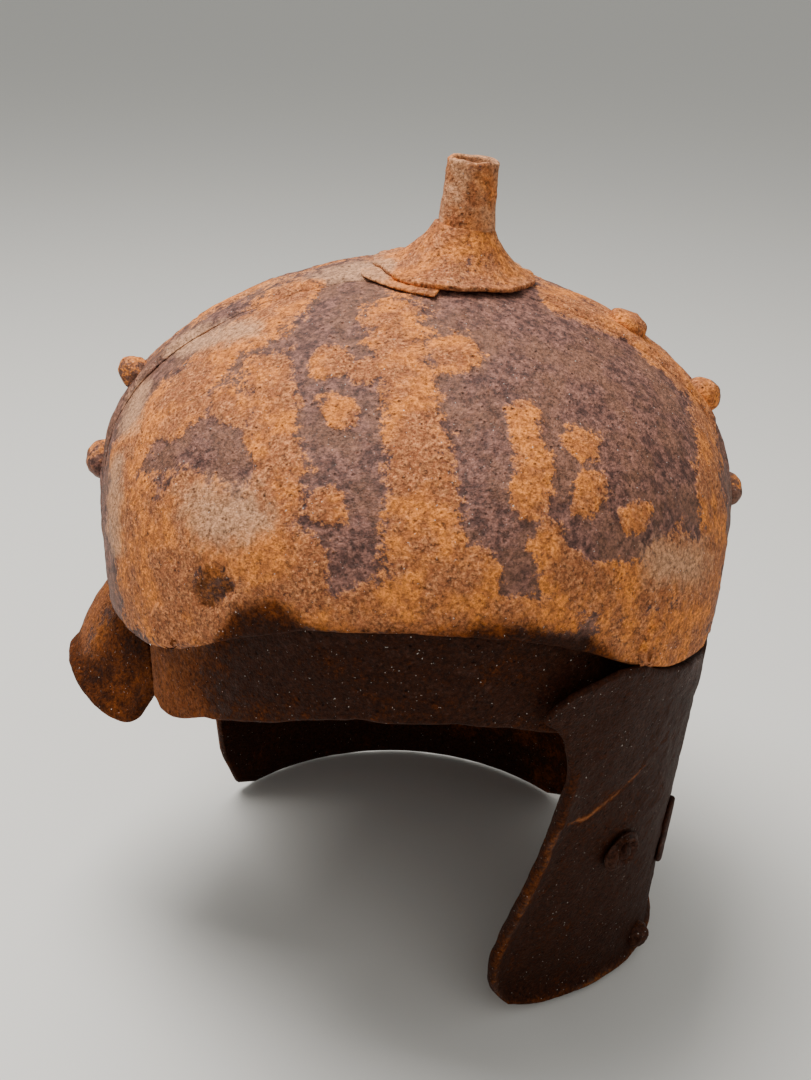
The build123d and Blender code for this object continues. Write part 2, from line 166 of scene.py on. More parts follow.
PROFILE = curve_through(BOWL[::-1], 600)  # crown to foot
BY_WIDTH = PROFILE[np.argsort(PROFILE[:, 0])]
BY_HEIGHT = PROFILE[np.argsort(PROFILE[:, 1])]


def profile_at(t):
    """Half-width and height at a share t of the way from the crown to the profile's end."""
    k = np.clip(t, 0, 1) * (len(PROFILE) - 1)
    i = np.arange(len(PROFILE))
    return np.interp(k, i, PROFILE[:, 0]), np.interp(k, i, PROFILE[:, 1])


def crown_height(reach):
    """Height of the crown at a distance from the bowl's axis."""
    return np.interp(reach, BY_WIDTH[:, 0], BY_WIDTH[:, 1])


def rim_height(x, front):
    wave = np.interp(np.abs(x), ARCH[:, 0], ARCH[:, 1])
    return np.where(front, wave, RIM_Z)


# --------------------------------------------------------------------------- corrosion layout, with painted shade
# Crust on the front of the bowl, as strokes through (x, up, half-width) in mm, where
# up = 0.91 z + 0.415 y runs across the plane that the upper front of the bowl faces
UP_Z, UP_Y = 0.91, 0.415
CRUST_STROKES = [
    [(-8, 208, 9), (-3, 180, 6), (2, 152, 8), (6, 122, 14)],  # broad streak down the middle
    [(-40, 218, 5), (-62, 196, 7), (-92, 164, 6)],  # slanting streak
    [(-45, 190, 6), (-42, 172, 6), (-38, 152, 8)],
    [(-85, 150, 9), (-78, 122, 14), (-60, 116, 10)],
    [(-66, 141, 15), (-42, 132, 14)],
    [(-30, 136, 3), (-28, 121, 5), (6, 121, 6)],
    [(29, 178, 3), (33, 162, 4), (31, 152, 3)],
    [(37, 141, 5), (48, 129, 7), (66, 127, 7), (80, 138, 9)],
    [(16, 134, 5), (18, 122, 5), (45, 121, 3)],
    [(93, 195, 5), (92, 165, 5), (95, 140, 6), (84, 116, 12), (60, 115, 8)],
    [(44, 222, 4), (69, 214, 4), (87, 200, 6)],
]
CRUST_FLECKS = [
    (-56, 179, 5), (-68, 179, 4), (-42, 160, 6), (-27, 194, 4), (-17, 190, 3), (-24, 178, 4),
    (-25, 149, 4), (9, 198, 5), (46, 171, 4), (48, 157, 4), (63, 151, 3),
]
TAN_STROKES = [
    [(-60, 147, 10), (-46, 147, 8)], [(-80, 203, 4), (-54, 205, 4)], [(-68, 230, 4), (-18, 231, 4)],
    [(-91, 186, 5), (-92, 175, 5)], [(-94, 160, 4), (-94, 136, 4)], [(72, 138, 7), (84, 138, 7)],
]
STROKE_SOFT = 1.5  # added to each half-width
RAGGED = 3.6  # how far noise moves a stroke's outline, mm
FRONT_Y, REAR_Y = -18, 14  # the strokes fade out between these depths
# How far the dark lower band reaches above the front rim, by x: darker rust with painted shade below the
# bowl's bulge
DARK_REACH = np.array([
    (-75, -1), (-58, 0), (-50, 12), (-38, 12), (-28, 3), (5, 3), (18, 6), (50, 7), (70, -1),
], float)
DARK_REAR_Z = 143  # its upper edge at the rear
DARK_SOFT = 5.0
BOWL_LOWEST = 100  # everything under this height counts as dark, which paints shade on the low parts
CRATER = (-57.6, -96.6, 183.0)
CRATER_SIZE = 8.5
CRATER_SOFT = 2.2


def strokes_value(u, v, strokes, lowest):
    """Highest value of a set of soft strokes: 1 along a stroke, 0 at its half-width."""
    best = np.full(u.shape, lowest)
    for path in strokes:
        for (u0, v0, w0), (u1, v1, w1) in zip(path, path[1:]):
            du, dv = u1 - u0, v1 - v0
            t = np.clip(((u - u0) * du + (v - v0) * dv) / (du ** 2 + dv ** 2), 0, 1)
            half = w0 + (w1 - w0) * t + STROKE_SOFT
            best = np.maximum(best, 1 - np.hypot(u - u0 - du * t, v - v0 - dv * t) / half)
    return best


def fields(p):
    """Corrosion layout at points: crust (orange), tan, dark (darker rust and painted shade), all about -1
    to 1.
    """
    x, y, z = p[..., 0], p[..., 1], p[..., 2]
    front = smooth(REAR_Y, FRONT_Y, y)
    u = x + RAGGED * fbm(p, 12, 5, 5, 0.68)
    v = UP_Z * z + UP_Y * y + RAGGED * fbm(p, 12, 405, 5, 0.68)
    flecks = [[(fu, fv, size), (fu + 1, fv, size)] for fu, fv, size in CRUST_FLECKS]
    crust = strokes_value(u, v, CRUST_STROKES + flecks, -0.8) * 1.1 - 0.02
    back = -0.1 + 0.85 * fbm(p, 38, 91, 3)
    crust = crust * front + back * (1 - front)
    crust = crust + 0.62 * fbm(p, 8, 9, 4, 0.7)
    tan = strokes_value(u, v, TAN_STROKES, -0.9) * front - 0.5 * (1 - front) + 0.3 * fbm(p, 14, 33, 3)
    reach = np.interp(x, DARK_REACH[:, 0], DARK_REACH[:, 1])
    edge = DARK_REAR_Z + (rim_height(x, True) + reach - DARK_REAR_Z) * front + 1.6 * fbm(p, 14, 61, 3)
    dark = np.where(z > BOWL_LOWEST, (edge - z) / DARK_SOFT, 1.0)
    return crust, tan, np.clip(dark, -1.6, 1.0)


def crust_height(crust, dark):
    """Relief of the orange crust over the bare iron, mm."""
    return 0.55 * smooth(-0.12, 0.12, crust) * (1 - 0.6 * smooth(0, 1, dark))


def roughness_relief(p):
    """General corrosion relief, mm, in every size from swelling to grains."""
    relief = 1.1 * fbm(p, 55, 3, 2) + 0.55 * fbm(p, 15, 11, 3) + 0.30 * fbm(p, 4.6, 23, 2)
    relief -= 0.34 * pits(p, 5.2, 41) * smooth(-0.3, 0.5, fbm(p, 20, 71, 2))
    relief -= 0.20 * pits(p, 2.7, 53)
    return relief


def skin_relief(p):
    """Relief of the bowl and its strap: corrosion with the raised crust."""
    crust, _, dark = fields(p)
    return roughness_relief(p) + crust_height(crust, dark)


# --------------------------------------------------------------------------- material
IRON_DEEP = (0.075, 0.030, 0.023)
IRON_PALE = (0.25, 0.108, 0.078)
IRON_BROWN = (0.22, 0.095, 0.05)
ORANGE_DEEP = (0.25, 0.075, 0.026)
ORANGE_PALE = (0.58, 0.225, 0.085)
ORANGE_BRIGHT = (0.80, 0.25, 0.035)
TAN = (0.56, 0.29, 0.155)
# Colours of the dark lower parts: darker rust with painted shade in it
SHADE_AND_RUST_BROWN = (0.026, 0.0065, 0.0018)
SHADE_AND_RUST_ORANGE = (0.15, 0.038, 0.007)
HOLE_TINT = (0.25, 0.16, 0.12)
SOOT = (0.05, 0.022, 0.014)
GLINT = (0.75, 0.70, 0.64)
# Noise scales, in features to the metre
GRAIN_SCALE, MEDIUM_SCALE, BROAD_SCALE = 1150, 330, 70
HOLE_SCALE, SOOT_SCALE, GLINT_SCALE, SHADE_SCALE = 420, 620, 1300, 760
BUMP_STRENGTH, BUMP_DISTANCE = 0.85, 0.0013
# The layout is kept in the mesh's colours as value * LAYOUT_SCALE + LAYOUT_MIDDLE
LAYOUT_NAME = "rust"
LAYOUT_SCALE, LAYOUT_MIDDLE = 0.2, 0.5
HINGE_LAYOUT = (-0.3, -1.0, 0.7)


def rust(name, layout=None):
    """Rust from nodes. Its layout comes from the mesh, or is one fixed (crust, tan, dark)."""
    mat = bpy.data.materials.new(name)
    mat.use_nodes = True
    tree = mat.node_tree
    bsdf = tree.nodes["Principled BSDF"]
    coord = tree.nodes.new("ShaderNodeTexCoord").outputs["Object"]

    def node(kind, **values):
        n = tree.nodes.new(kind)
        for key, value in values.items():
            setattr(n, key, value)
        return n

    def link(value, socket):
        """Join an output to a socket, or set the socket to a plain value."""
        if hasattr(value, "is_linked"):
            tree.links.new(value, socket)
        else:
            socket.default_value = value

    def speckle(scale, detail, rough=0.6):
        n = node("ShaderNodeTexNoise")
        link(coord, n.inputs["Vector"])
        n.inputs["Scale"].default_value = scale
        n.inputs["Detail"].default_value = detail
        n.inputs["Roughness"].default_value = rough
        return n.outputs["Fac"]

    def calc(op, a, b, c=None):
        n = node("ShaderNodeMath", operation=op)
        for value, socket in zip((a, b, c), n.inputs):
            if value is not None:
                link(value, socket)
        return n.outputs[0]

    def span(value, lo, hi, out_lo=0.0, out_hi=1.0):
        n = node("ShaderNodeMapRange", interpolation_type="SMOOTHSTEP")
        link(value, n.inputs[0])
        for k, v in enumerate((lo, hi, out_lo, out_hi)):
            n.inputs[k + 1].default_value = v
        return n.outputs[0]

    def mix(factor, a, b, blend="MIX"):
        n = node("ShaderNodeMix", data_type="RGBA", blend_type=blend)
        link(factor, n.inputs[0])
        n.clamp_result = False
        for value, socket in ((a, n.inputs[6]), (b, n.inputs[7])):
            link(value if hasattr(value, "is_linked") else (*value, 1.0), socket)
        return n.outputs[2]

    grain = speckle(GRAIN_SCALE, 3, 0.65)
    medium = speckle(MEDIUM_SCALE, 5, 0.62)
    broad = speckle(BROAD_SCALE, 4)
    if layout is None:
        split = node("ShaderNodeSeparateColor")
        link(node("ShaderNodeVertexColor", layer_name=LAYOUT_NAME).outputs["Color"], split.inputs[0])
        crust, tan, dark = (
            calc("MULTIPLY_ADD", channel, 1 / LAYOUT_SCALE, -LAYOUT_MIDDLE / LAYOUT_SCALE)
            for channel in split.outputs[:3]
        )
    else:
        crust, tan, dark = layout

    # Where each kind of rust lies, with edges broken up by the grain
    break_up = calc("MULTIPLY_ADD", medium, 1.5, -0.75)
    fine_break = calc("MULTIPLY_ADD", grain, 1.1, -0.55)
    crust = calc("ADD", calc("ADD", crust, break_up), fine_break)
    crust_mask = span(crust, -0.12, 0.14)
    tan_mask = span(calc("ADD", tan, break_up), -0.2, 0.8, 0.0, 0.8)
    shade_and_dark_rust_mask = span(calc("ADD", dark, break_up), -0.55, 0.85)

    # Bare iron, orange crust, tan patches and the dark lower parts, whose darkness is partly darker rust
    # and partly painted shade
    iron = mix(span(medium, 0.38, 0.62), IRON_DEEP, IRON_PALE)
    iron = mix(span(broad, 0.42, 0.62, 0.0, 0.55), iron, IRON_BROWN)
    orange = mix(span(grain, 0.36, 0.64), ORANGE_DEEP, ORANGE_PALE)
    orange = mix(span(broad, 0.44, 0.62, 0.0, 0.75), orange, ORANGE_BRIGHT)
    orange = mix(span(medium, 0.56, 0.40, 0.0, 0.6), orange, ORANGE_DEEP)
    color = mix(crust_mask, iron, orange)
    color = mix(tan_mask, color, TAN)
    color = mix(shade_and_dark_rust_mask, color, mix(span(crust, -0.2, 0.9), SHADE_AND_RUST_BROWN, SHADE_AND_RUST_ORANGE))

    # Small holes, dark specks, painted glints as bright specks, and an overall mottle
    cells = node("ShaderNodeTexVoronoi", feature="F1")
    link(coord, cells.inputs["Vector"])
    cells.inputs["Scale"].default_value = HOLE_SCALE
    hole = span(cells.outputs["Distance"], 0.30, 0.05)
    hole = calc("MULTIPLY", hole, span(medium, 0.44, 0.60))
    color = mix(calc("MULTIPLY", hole, 0.75), color, HOLE_TINT, "MULTIPLY")
    color = mix(calc("MULTIPLY", span(speckle(SOOT_SCALE, 4, 0.7), 0.56, 0.66), 0.62), color, SOOT)
    color = mix(span(speckle(GLINT_SCALE, 1, 0.5), 0.74, 0.80, 0.0, 0.6), color, GLINT)
    mottle = span(speckle(SHADE_SCALE, 5, 0.8), 0.34, 0.66, 0.45, 1.5)
    color = mix(1.0, color, mottle, "MULTIPLY")

    link(color, bsdf.inputs["Base Color"])
    link(span(crust, -0.3, 0.3, 0.62, 0.9), bsdf.inputs["Roughness"])
    link(calc("MULTIPLY_ADD", shade_and_dark_rust_mask, -0.22, 0.3), bsdf.inputs["Specular IOR Level"])
    height = calc("ADD", calc("MULTIPLY", grain, 0.5), calc("MULTIPLY", medium, 0.7))
    height = calc("SUBTRACT", height, calc("MULTIPLY", hole, 0.6))
    bump = node("ShaderNodeBump")
    bump.inputs["Strength"].default_value = BUMP_STRENGTH
    bump.inputs["Distance"].default_value = BUMP_DISTANCE
    link(height, bump.inputs["Height"])
    link(bump.outputs[0], bsdf.inputs["Normal"])
    return mat


rust_material = rust("rust_crust")
hinge_material = rust("rust_dark", HINGE_LAYOUT)

# --------------------------------------------------------------------------- meshes
EDGE_THINNING = 0.3  # share of the wall that each skin gives up at an open edge
INSIDE_PAINTED_SHADE = 1.6  # painted shade: how much darker the inside of the bowl and neck guard is
INSIDE_PAINTED_SHADE_LEVEL = 2.0  # painted shade: darkness of the inside of the band and the cheek plates


def edge_ease(rows, cols, wrap, pole):
    """0 on the open edges of a grid, 1 inside."""
    ease_r = np.ones(rows)
    ease_r[-1] = 0.0
    if not pole:
        ease_r[0] = 0.0
    ease_c = np.ones(cols)
    if not wrap:
        ease_c[0] = ease_c[-1] = 0.0
    return np.minimum(ease_r[:, None], ease_c[None, :])[..., None]


def grid_normals(grid, wrap):
    """Unit normals of a grid of points (rows, columns, 3)."""
    if wrap:
        across = np.roll(grid, -1, 1) - np.roll(grid, 1, 1)
    else:
        across = np.gradient(grid, axis=1)
    along = np.gradient(grid, axis=0)
    n = np.cross(along, across)
    size = np.linalg.norm(n, axis=2, keepdims=True)
    return n / np.maximum(size, 1e-9)


def shell(grid, wall, relief, inside=HEAD, wrap=False, pole=False, dark=0.0, crust=0.0):
    """Closed shell over a grid: outer skin with relief, inner skin, joined along its edges.

    inside is a point behind the grid, wrap closes its columns into a ring, and pole leaves its first
    row, a small ring, without a rim. Returns vertices, quads, colours; the outer skin comes first.
    """
    rows, cols = grid.shape[:2]
    n = grid_normals(grid, wrap)
    middle = (rows // 2, cols // 2)
    outward = 1.0 if np.dot(n[middle], grid[middle] - inside) > 0 else -1.0
    n = n * outward
    ease = edge_ease(rows, cols, wrap, pole)
    outer = grid + n * relief[..., None] - n * (1 - ease) * wall * EDGE_THINNING
    low = 0.3 * fbm(grid, 12, 77, 3)
    inner = grid - n * wall + n * low[..., None] + n * (1 - ease) * wall * EDGE_THINNING
    verts = np.concatenate([outer.reshape(-1, 3), inner.reshape(-1, 3)])
    base = rows * cols
    idx = np.arange(base).reshape(rows, cols)
    last = cols if wrap else cols - 1
    r, c = np.meshgrid(np.arange(rows - 1), np.arange(last), indexing="ij")
    right = (c + 1) % cols
    top = np.stack([idx[r, c], idx[r + 1, c], idx[r + 1, right], idx[r, right]], -1).reshape(-1, 4)
    quads = [top, (top + base)[:, ::-1]]
    edges = [(idx[-1], True)] if pole else [(idx[0], False), (idx[-1], True)]
    if not wrap:
        edges += [(idx[:, 0], True), (idx[:, -1], False)]
    for line, flip in edges:
        p0, p1 = (line, np.roll(line, -1)) if wrap else (line[:-1], line[1:])
        strip = np.stack([p0, p1, p1 + base, p0 + base], -1)
        quads.append(strip[:, ::-1] if flip else strip)
    quads = np.concatenate(quads)
    if outward < 0:
        quads = quads[:, ::-1]
    colors = np.stack(fields(verts), -1)
    colors[:, 0] += crust
    colors[:, 2] += dark
    # Painted shade on the inner skin
    colors[base:, 2] += INSIDE_PAINTED_SHADE
    return verts, quads, colors


def piece(name, parts, body, nodes):
    """One object from shells, riding a body in place of its CAD nodes."""
    verts, quads, colors, start = [], [], [], 0
    for v, q, c in parts:
        verts.append(v)
        quads.append(q + start)
        colors.append(c)
        start += len(v)
    verts, quads, colors = np.concatenate(verts), np.concatenate(quads), np.concatenate(colors)
    mesh = bpy.data.meshes.new(name)
    mesh.from_pydata(put(verts).tolist(), [], quads.tolist())
    mesh.update()
    mesh.polygons.foreach_set("use_smooth", [True] * len(mesh.polygons))
    layer = mesh.color_attributes.new(LAYOUT_NAME, "FLOAT_COLOR", "POINT")
    rgba = np.ones((len(verts), 4))
    rgba[:, :3] = np.clip(colors * LAYOUT_SCALE + LAYOUT_MIDDLE, 0, 1)
    layer.data.foreach_set("color", rgba.ravel())
    obj = bpy.data.objects.new(name, mesh)
    bpy.context.scene.collection.objects.link(obj)
    mesh.materials.append(rust_material)
    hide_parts(*nodes)
    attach(obj, body)


def grid_axes(rows, lo, hi, cols, ring=False):
    """A column of shares from 0 to 1 down the rows, and values from lo to hi across every row."""
    down = np.linspace(0, 1, rows)[:, None]
    return down, np.linspace(lo, hi, cols, endpoint=not ring)[None, :] * np.ones((rows, 1))


# --------------------------------------------------------------------------- bowl plates
BOWL_WALL = 2.6


def on_bowl(theta, share):
    r, z = profile_at(share)
    return np.stack([r * np.cos(theta), r * np.sin(theta) * DEPTH_RATIO, z + 0 * theta], -1)


def rim_share(theta, front):
    """Share of the profile at which each bearing meets the rim, found by halving."""
    lo, hi = np.full_like(theta, 0.35), np.full_like(theta, 1.0)
    for _ in range(30):
        mid = (lo + hi) / 2
        r, z = profile_at(mid)
        above = z > rim_height(r * np.cos(theta), front)
        lo, hi = np.where(above, mid, lo), np.where(above, hi, mid)
    return lo


def crater(p):
    """Depth of the rough crater on the lower bowl, 0 to 1."""
    d = np.linalg.norm(p - np.array(CRATER), axis=-1) + 4.0 * fbm(p, 5, 301, 4, 0.65)
    return smooth(CRATER_SIZE, CRATER_SIZE - CRATER_SOFT, d)


def skull_plate(node, front, cols, rows):
    theta = np.linspace(0, math.pi, cols) * (-1 if front else 1)
    end = rim_share(theta, front)
    share = np.linspace(0.004, 1, rows)[:, None] * end[None, :]
    grid = on_bowl(theta[None, :] + 0 * share, share)
    grid[-1, :, 2] += 0.8 * fbm(grid[-1], 14, 7, 3)
    relief = skin_relief(grid) - crater(grid) * (0.7 + 1.3 * fbm(grid, 2.6, 311, 3))
    relief *= smooth(0.0, 0.03, share)
    v, q, c = shell(grid, BOWL_WALL, relief)
    scab = crater(v)
    c[:, 2] += (0.25 - c[:, 2]) * scab
    c[:, 0] -= 0.5 * scab
    piece("rusted_" + node, [(v, q, c)], "skull", [node])


skull_plate("skull_front_plate", True, 300, 140)
skull_plate("skull_rear_plate", False, 240, 110)

# --------------------------------------------------------------------------- strap over the crown
STRAP_HALF = 13.5
STRAP_LIFT = 1.7  # its outer face over the bowl
STRAP_EDGE_LIFT = 0.2
STRAP_FOOT = 0.86  # share of the bowl's profile that it runs down on each side
STRAP_FLAT_X, STRAP_STEEP_X = 45, 75  # between these it goes from lying on the crown to its sides


def strap():
    rows, cols = 260, 26
    t = np.linspace(-STRAP_FOOT, STRAP_FOOT, rows)[:, None] * np.ones((1, cols))
    across = np.linspace(-1, 1, cols)[None, :] * np.ones((rows, 1))
    x0, z0 = profile_at(np.abs(t))
    edge_at = np.stack([x0 * np.sign(t), across * 12, z0], -1)
    y = across * (STRAP_HALF + 1.3 * fbm(edge_at, 13, 401, 3)) / DEPTH_RATIO
    x_steep = np.sqrt(np.maximum(x0 ** 2 - y ** 2, 0))
    steep = smooth(STRAP_FLAT_X, STRAP_STEEP_X, x0)
    x = (x0 * (1 - steep) + x_steep * steep) * np.sign(t)
    z = crown_height(np.hypot(x0, y)) * (1 - steep) + z0 * steep
    grid = np.stack([x, y * DEPTH_RATIO, z], -1)
    worn = 0.10 + 0.10 * fbm(grid, 24, 431, 2)
    relief = skin_relief(grid) + STRAP_EDGE_LIFT
    relief = relief + (STRAP_LIFT - STRAP_EDGE_LIFT) * smooth(0.0, worn + 0.22, 1 - np.abs(across))
    v, q, c = shell(grid, 0.4, relief, crust=0.2)
    c[:, 1] += 0.35
    return v, q, c


piece("rusted_crown_strap", [strap()], "skull", ["crown_strap"])

# --------------------------------------------------------------------------- studs
SKIRT = math.radians(118)  # a stud's dome goes on past its equator, under the surface
STUD_WALL = 1.2
RING_AT_SHARE, RING_SPREAD = 0.72, 0.13  # a raised ring on a stud, in shares of its radius
RING_LAST = 1.5  # the ring stays above this turn from the top, just short of the equator


def stud(at, normal, radius, height, seed, dark=0.0, crust=0.5, ring=0.0):
    """Corroded boss: a lumpy dome whose skirt goes under the surface it stands on."""
    n = np.array(normal, float)
    n /= np.linalg.norm(n)
    side = np.cross(n, [0.0, 0.0, 1.0])
    if np.linalg.norm(side) < 0.1:
        side = np.cross(n, [0.0, 1.0, 0.0])
    side /= np.linalg.norm(side)
    up = np.cross(side, n)
    phi = np.linspace(0.02, SKIRT, 22)[:, None]
    psi = np.linspace(0, 2 * math.pi, 40, endpoint=False)[None, :]
    flat = radius * np.sin(phi) * (1 + 0 * psi)
    rise = height * np.cos(phi) + 0 * psi
    bump = np.exp(-((flat / radius - RING_AT_SHARE) / RING_SPREAD) ** 2)
    rise = rise + ring * bump * (phi < RING_LAST)
    round_it = np.cos(psi)[..., None] * side + np.sin(psi)[..., None] * up
    grid = np.array(at) + flat[..., None] * round_it + rise[..., None] * n
    relief = (0.16 * radius * fbm(grid, radius * 0.9, seed, 3) + 0.25 * fbm(grid, 2.2, seed + 5, 2)
              - 0.15 * pits(grid, 2.6, seed))
    return shell(grid, min(STUD_WALL, height * 0.5), relief, inside=np.array(at), wrap=True, pole=True,
                 dark=dark, crust=crust)


def bowl_spot(bearing, z, lift):
    """Point and normal on the bowl; bearing in degrees from +X towards the front."""
    r, wider, narrower = (np.interp(z + dz, BY_HEIGHT[:, 1], BY_HEIGHT[:, 0]) for dz in (0, -3, 3))
    slope = (wider - narrower) / 6
    a = math.radians(bearing)
    n = np.array([math.cos(a), -math.sin(a) / DEPTH_RATIO, slope])
    n /= np.linalg.norm(n)
    return np.array([r * math.cos(a), -r * math.sin(a) * DEPTH_RATIO, z]) + n * lift, n


# Height, radius and rise of the studs on the strap, from the foot up
STRAP_STUDS = {"left": [(180, 6.0, 5.6), (213.5, 6.3, 5.8), (236, 7.0, 5.0)],
               "right": [(181.5, 7.0, 6.2), (213, 5.2, 6.6)]}
TEMPLE_Z, TEMPLE_RADIUS, TEMPLE_RISE = 163, 8.0, 1.2

for side_name, bearing in (("left", 0), ("right", 180)):
    domes = []
    for k, (z, radius, height) in enumerate(STRAP_STUDS[side_name]):
        at, n = bowl_spot(bearing, z, STRAP_LIFT)
        domes.append(stud(at, n, radius, height, 500 + 11 * k + bearing))
    piece("rusted_strap_rivets_" + side_name, domes, "skull", ["strap_rivets_" + side_name])

domes = []
for bearing in (47, 133):
    at, n = bowl_spot(bearing, TEMPLE_Z, 0.2)
    domes.append(stud(at, n, TEMPLE_RADIUS, TEMPLE_RISE, 560 + bearing, crust=0.2, ring=0.6))
piece("rusted_temple_bosses", domes, "skull", ["temple_bosses"])

# --------------------------------------------------------------------------- brow band
BAND_A, BAND_B = 97.5, 112.0  # half-width and half-depth of the band's curve
BAND_END = 86.0
BAND_TUCK = 5  # how far it goes up behind the bowl's rim
BAND_TOP_Z, BAND_DROP, BAND_TAPER = 180, 60, 1.5
# Height of its lower edge by distance from the middle
BAND_LOW = np.array([
    (0, 148.0), (15, 147.6), (30, 144.0), (47, 138.0), (64, 130.0), (77, 120.5), (86, 115.0),
])


def brow_band():
    reach = math.asin(BAND_END / BAND_A)
    down, a = grid_axes(40, -reach, reach, 190)
    x = BAND_A * np.sin(a)
    top = np.interp(np.abs(x), ARCH[:, 0], ARCH[:, 1]) + BAND_TUCK
    low = np.interp(np.abs(x), BAND_LOW[:, 0], BAND_LOW[:, 1])
    low = low + 0.7 * fbm(on_line(x), 15, 601, 3)
    low = low + (1 - smooth(BAND_END, BAND_END - 5, np.abs(x))) * 2.5
    z = top + (low - top) * down
    squeeze = 1 - (BAND_TAPER / BAND_B) * (BAND_TOP_Z - z) / BAND_DROP
    grid = np.stack([x * squeeze, -BAND_B * np.cos(a) * squeeze, z], -1)
    v, q, c = shell(grid, 2.5, roughness_relief(grid) * 0.8)
    painted_light_end = smooth(-40, -82, v[:, 0])  # painted light: the wearer's right end is brighter
    # Painted shade darkens the whole band, as under the bowl's overhang, and keeps crust off its top below
    # the rim
    c[:, 2] = 0.95 + 0.35 * fbm(v, 16, 621, 3) - painted_light_end * 0.5
    c[:, 0] = -0.25 + 0.5 * fbm(v, 11, 631, 4, 0.6) + painted_light_end * 0.75 + 0.4 * smooth(150, 122, v[:, 2])
    c[len(v) // 2:, 2] = INSIDE_PAINTED_SHADE_LEVEL
    return v, q, c


piece("rusted_brow_band", [brow_band()], "skull", ["brow_band"])

# --------------------------------------------------------------------------- neck guard
NECK_A, NECK_B = 97.0, 110.0  # half-width and half-depth at the top
NECK_FOOT_A, NECK_FOOT_B = 95.0, 104.0
NECK_TOP_Z = 151.0
# Depth and height along its front edge and foot
NECK_FOOT = np.array([(52.0, 112.0), (53.5, 84.0), (62.0, 22.0), (69.0, 5.0), (78.0, 0.4)], float)


def neck_guard():
    reach = math.acos(NECK_FOOT[0, 0] / NECK_B)
    down, a = grid_axes(110, -reach, reach, 170)
    low = np.interp(NECK_B * np.cos(a), NECK_FOOT[:, 0], NECK_FOOT[:, 1])
    z = NECK_TOP_Z + (low - NECK_TOP_Z) * down
    f = z / NECK_TOP_Z
    half_w = NECK_FOOT_A + (NECK_A - NECK_FOOT_A) * f
    half_d = NECK_FOOT_B + (NECK_B - NECK_FOOT_B) * f
    grid = np.stack([half_w * np.sin(a), half_d * np.cos(a), z], -1)
    return shell(grid, 2.6, roughness_relief(grid), dark=-0.75)


piece("rusted_neck_guard", [neck_guard()], "skull", ["neck_guard"])

# --------------------------------------------------------------------------- plume socket
PLUME_X = 12.5
PLUME_LEAN, LEAN_Z = math.radians(3.0), 255.0  # the tube leans about this height
TUBE_FOOT_R, TUBE_TOP_R, TUBE_WALL = 9.8, 8.5, 2.2
TUBE_LOW_Z, TUBE_HIGH_Z = 259.0, 290.3
FOOT_X = 10.0  # middle of the foot's ragged outline
FOOT_INNER_R = 9.2


def circle(psi, radius):
    """Level circle, where noise is read for the outline of a ring."""
    return np.stack([np.cos(psi) * radius, np.sin(psi) * radius, 0 * psi], -1)


def lean(grid):
    out = grid.copy()
    dx, dz = grid[..., 0] - PLUME_X, grid[..., 2] - LEAN_Z
    out[..., 0] = PLUME_X + dx * math.cos(PLUME_LEAN) + dz * math.sin(PLUME_LEAN)
    out[..., 2] = LEAN_Z + dz * math.cos(PLUME_LEAN) - dx * math.sin(PLUME_LEAN)
    return out


def plume_tube():
    down, psi = grid_axes(56, 0, 2 * math.pi, 84, ring=True)
    top = TUBE_HIGH_Z - 0.9 + 0.9 * fbm(circle(psi, 9), 7, 701, 3)
    z = top + (TUBE_LOW_Z - top) * down
    r = TUBE_TOP_R + (TUBE_FOOT_R - TUBE_TOP_R) * down ** 1.5
    grid = lean(np.stack([PLUME_X + r * np.cos(psi), r * np.sin(psi), z], -1))
    relief = 0.55 * fbm(grid, 11, 711, 3) + 0.28 * fbm(grid, 3.4, 717, 2) - 0.35 * pits(grid, 3.4, 721)
    axis = np.array([PLUME_X, 0.0, LEAN_Z])
    v, q, c = shell(grid, TUBE_WALL, relief, inside=axis, wrap=True, crust=1.4, dark=-2.0)
    c[:, 1] += 1.1 + 0.8 * fbm(v, 9, 731, 3)
    return v, q, c


def plume_foot(radius, lift, bell, waves, seed, sector=None, thick=1.7):
    """Skirt lying on the crown, from the tube out to a ragged edge, all round or over a sector."""
    lo, hi = sector or (0, 2 * math.pi)
    down, psi = grid_axes(60, lo, hi, 180, ring=sector is None)
    edge = radius + waves * fbm(circle(psi, 27), 15, seed, 4, 0.6)
    inner_x = PLUME_X + FOOT_INNER_R * np.cos(psi)
    inner_y = FOOT_INNER_R * np.sin(psi)
    x = inner_x + (FOOT_X + edge * np.cos(psi) - inner_x) * down
    y = inner_y + (edge * np.sin(psi) - inner_y) * down
    z = crown_height(np.hypot(x, y / DEPTH_RATIO)) + lift + bell * (1 - down) ** 2.4
    grid = np.stack([x, y, z], -1)
    relief = 0.5 * fbm(grid, 12, seed + 3, 3) + 0.3 * fbm(grid, 3.8, seed + 7, 2)
    relief -= 0.35 * pits(grid, 3.8, seed + 9)
    v, q, c = shell(grid, thick, relief, wrap=sector is None, crust=1.3, dark=-2.0)
    c[:, 1] += 0.7 + 0.8 * fbm(v, 12, 741, 3)
    return v, q, c


base_skirt = plume_foot(27.0, 3.4, 13.0, 3.2, 751)
base_tab = plume_foot(31.5, 2.0, 0.4, 1.6, 781, (math.radians(192), math.radians(258)), 1.3)
piece("rusted_plume_tube", [plume_tube()], "skull", ["plume_tube"])
piece("rusted_plume_base", [base_skirt], "skull", ["plume_base"])
piece("rusted_plume_base_tab", [base_tab], "skull", ["plume_base_tab"])

# --------------------------------------------------------------------------- cheek plates
# Half-width and half-depth of the long plate's curve at CHEEK_TOP_Z and at the table
CHEEK_TOP_A, CHEEK_TOP_B, CHEEK_TOP_Z = 107.0, 121.0, 165.0
CHEEK_FOOT_A, CHEEK_FOOT_B = 99.8, 71.0
CHEEK_WALL = 2.4
CHEEK_REAR_Y = 38.0
